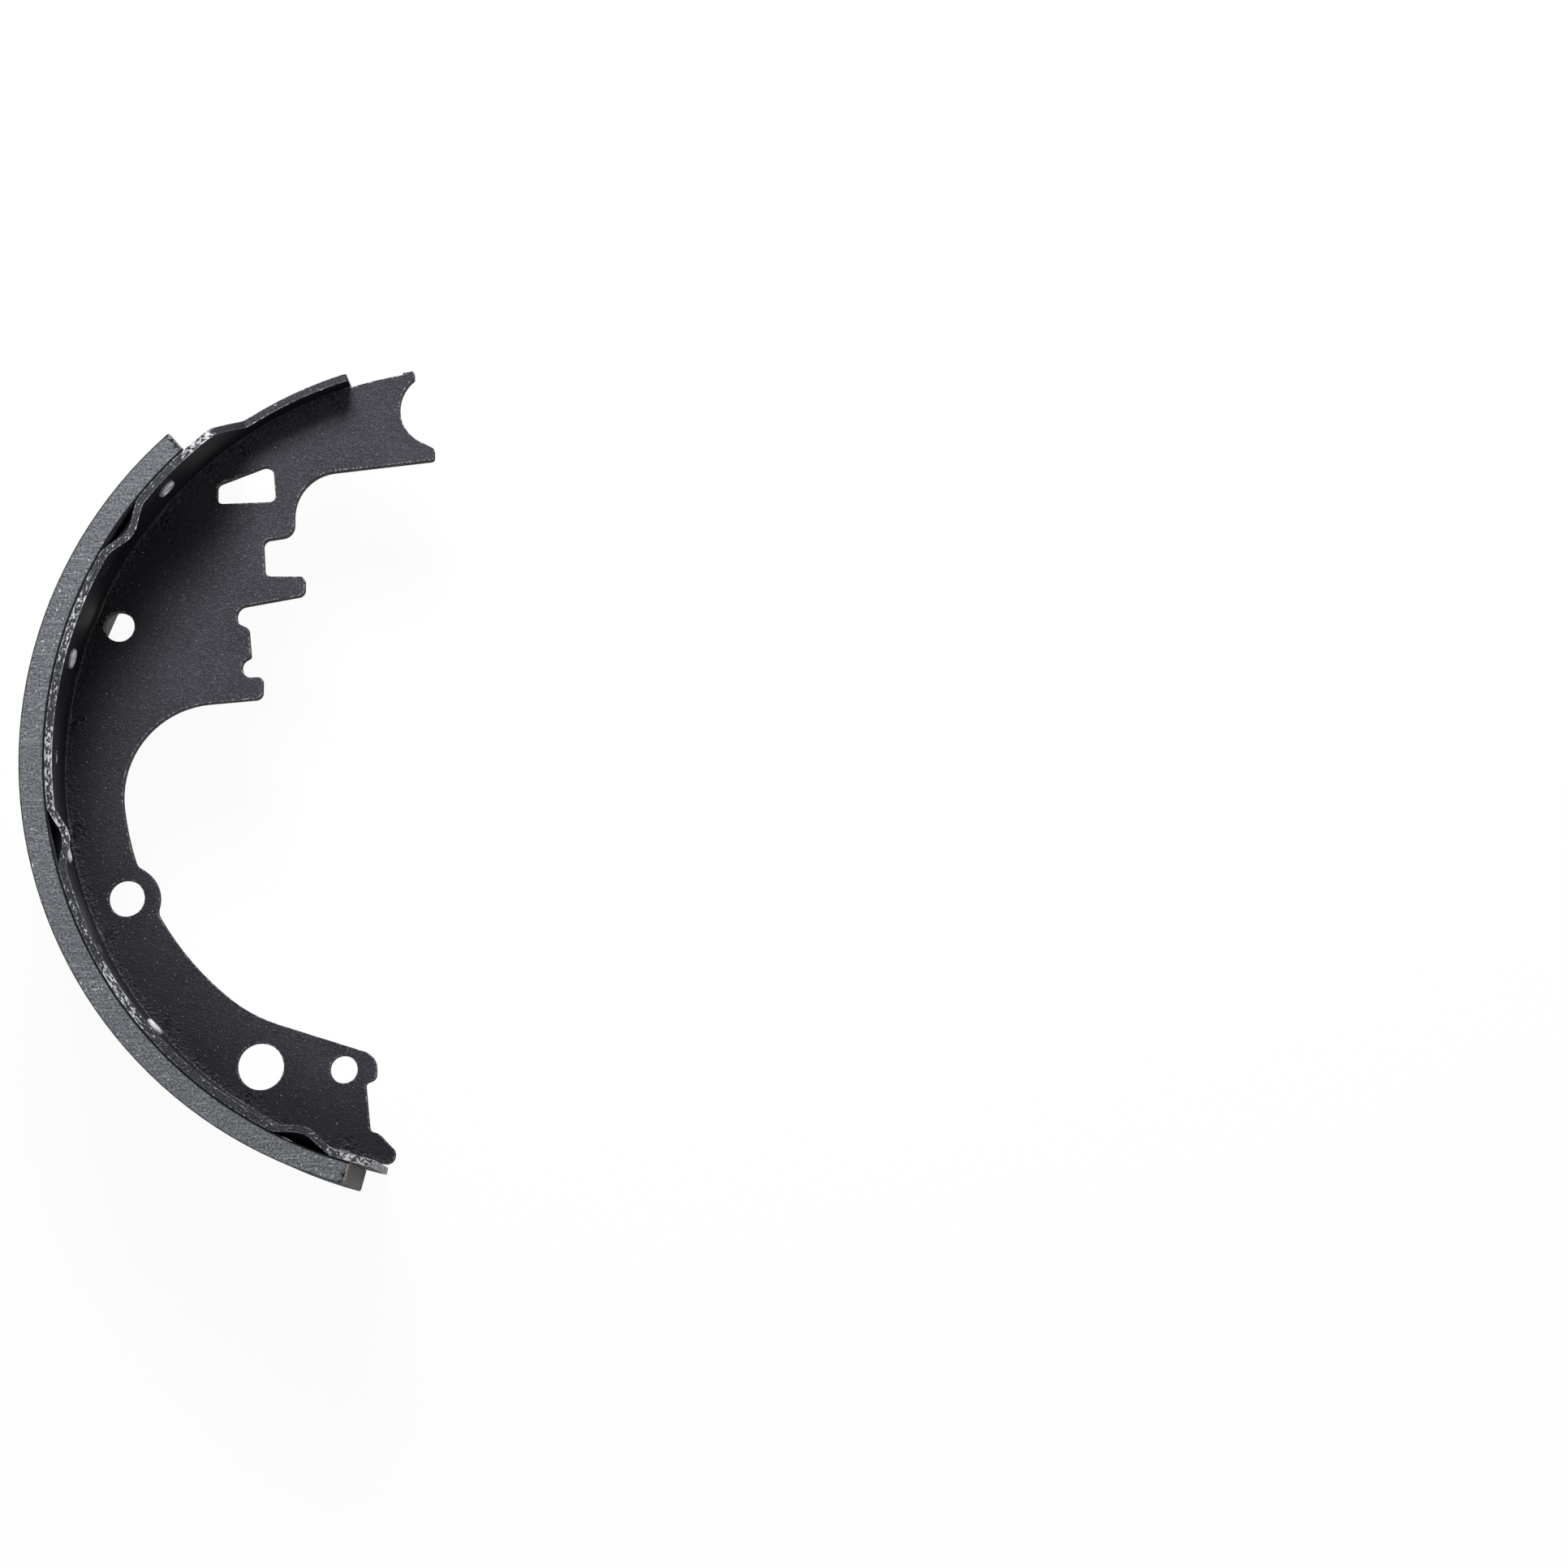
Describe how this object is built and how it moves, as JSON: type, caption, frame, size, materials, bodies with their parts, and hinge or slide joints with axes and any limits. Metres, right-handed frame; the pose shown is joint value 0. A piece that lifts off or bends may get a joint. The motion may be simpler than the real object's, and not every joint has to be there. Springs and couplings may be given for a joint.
{
  "type": "brake shoe",
  "caption": "Drum brake shoe: curved T-section of rim and web with nibs, anchor and adjuster notches, and a thick friction lining riveted to the rim.",
  "frame": {"origin": "on the surface that the shoe lies on, under the middle of its bounding box; the drum axis stands parallel to Z at x 0.0750, y 0.0025", "axes": "+Z along the drum axis, up from the side edge that the shoe lies on; +Y from the adjuster end to the anchor end; -X from the drum axis toward the lining"},
  "size_m": [0.1294, 0.265, 0.076],
  "materials": {
    "shoe_steel": "thin satin charcoal coating on pressed steel, chipped to bare metal on the sheared edges",
    "friction_lining": "moulded friction material, ground face with bright metal and fibre specks",
    "rivet_zinc": "bright zinc-plated semi-tubular rivets"
  },
  "bodies": {
    "root": {"web": "shoe_steel", "rim": "shoe_steel", "lining": "friction_lining", "lining_rivet_01": "rivet_zinc", "lining_rivet_02": "rivet_zinc", "lining_rivet_03": "rivet_zinc", "lining_rivet_04": "rivet_zinc", "lining_rivet_05": "rivet_zinc", "lining_rivet_06": "rivet_zinc", "lining_rivet_07": "rivet_zinc", "lining_rivet_08": "rivet_zinc", "lining_rivet_09": "rivet_zinc", "lining_rivet_10": "rivet_zinc"}
  },
  "joints": []
}
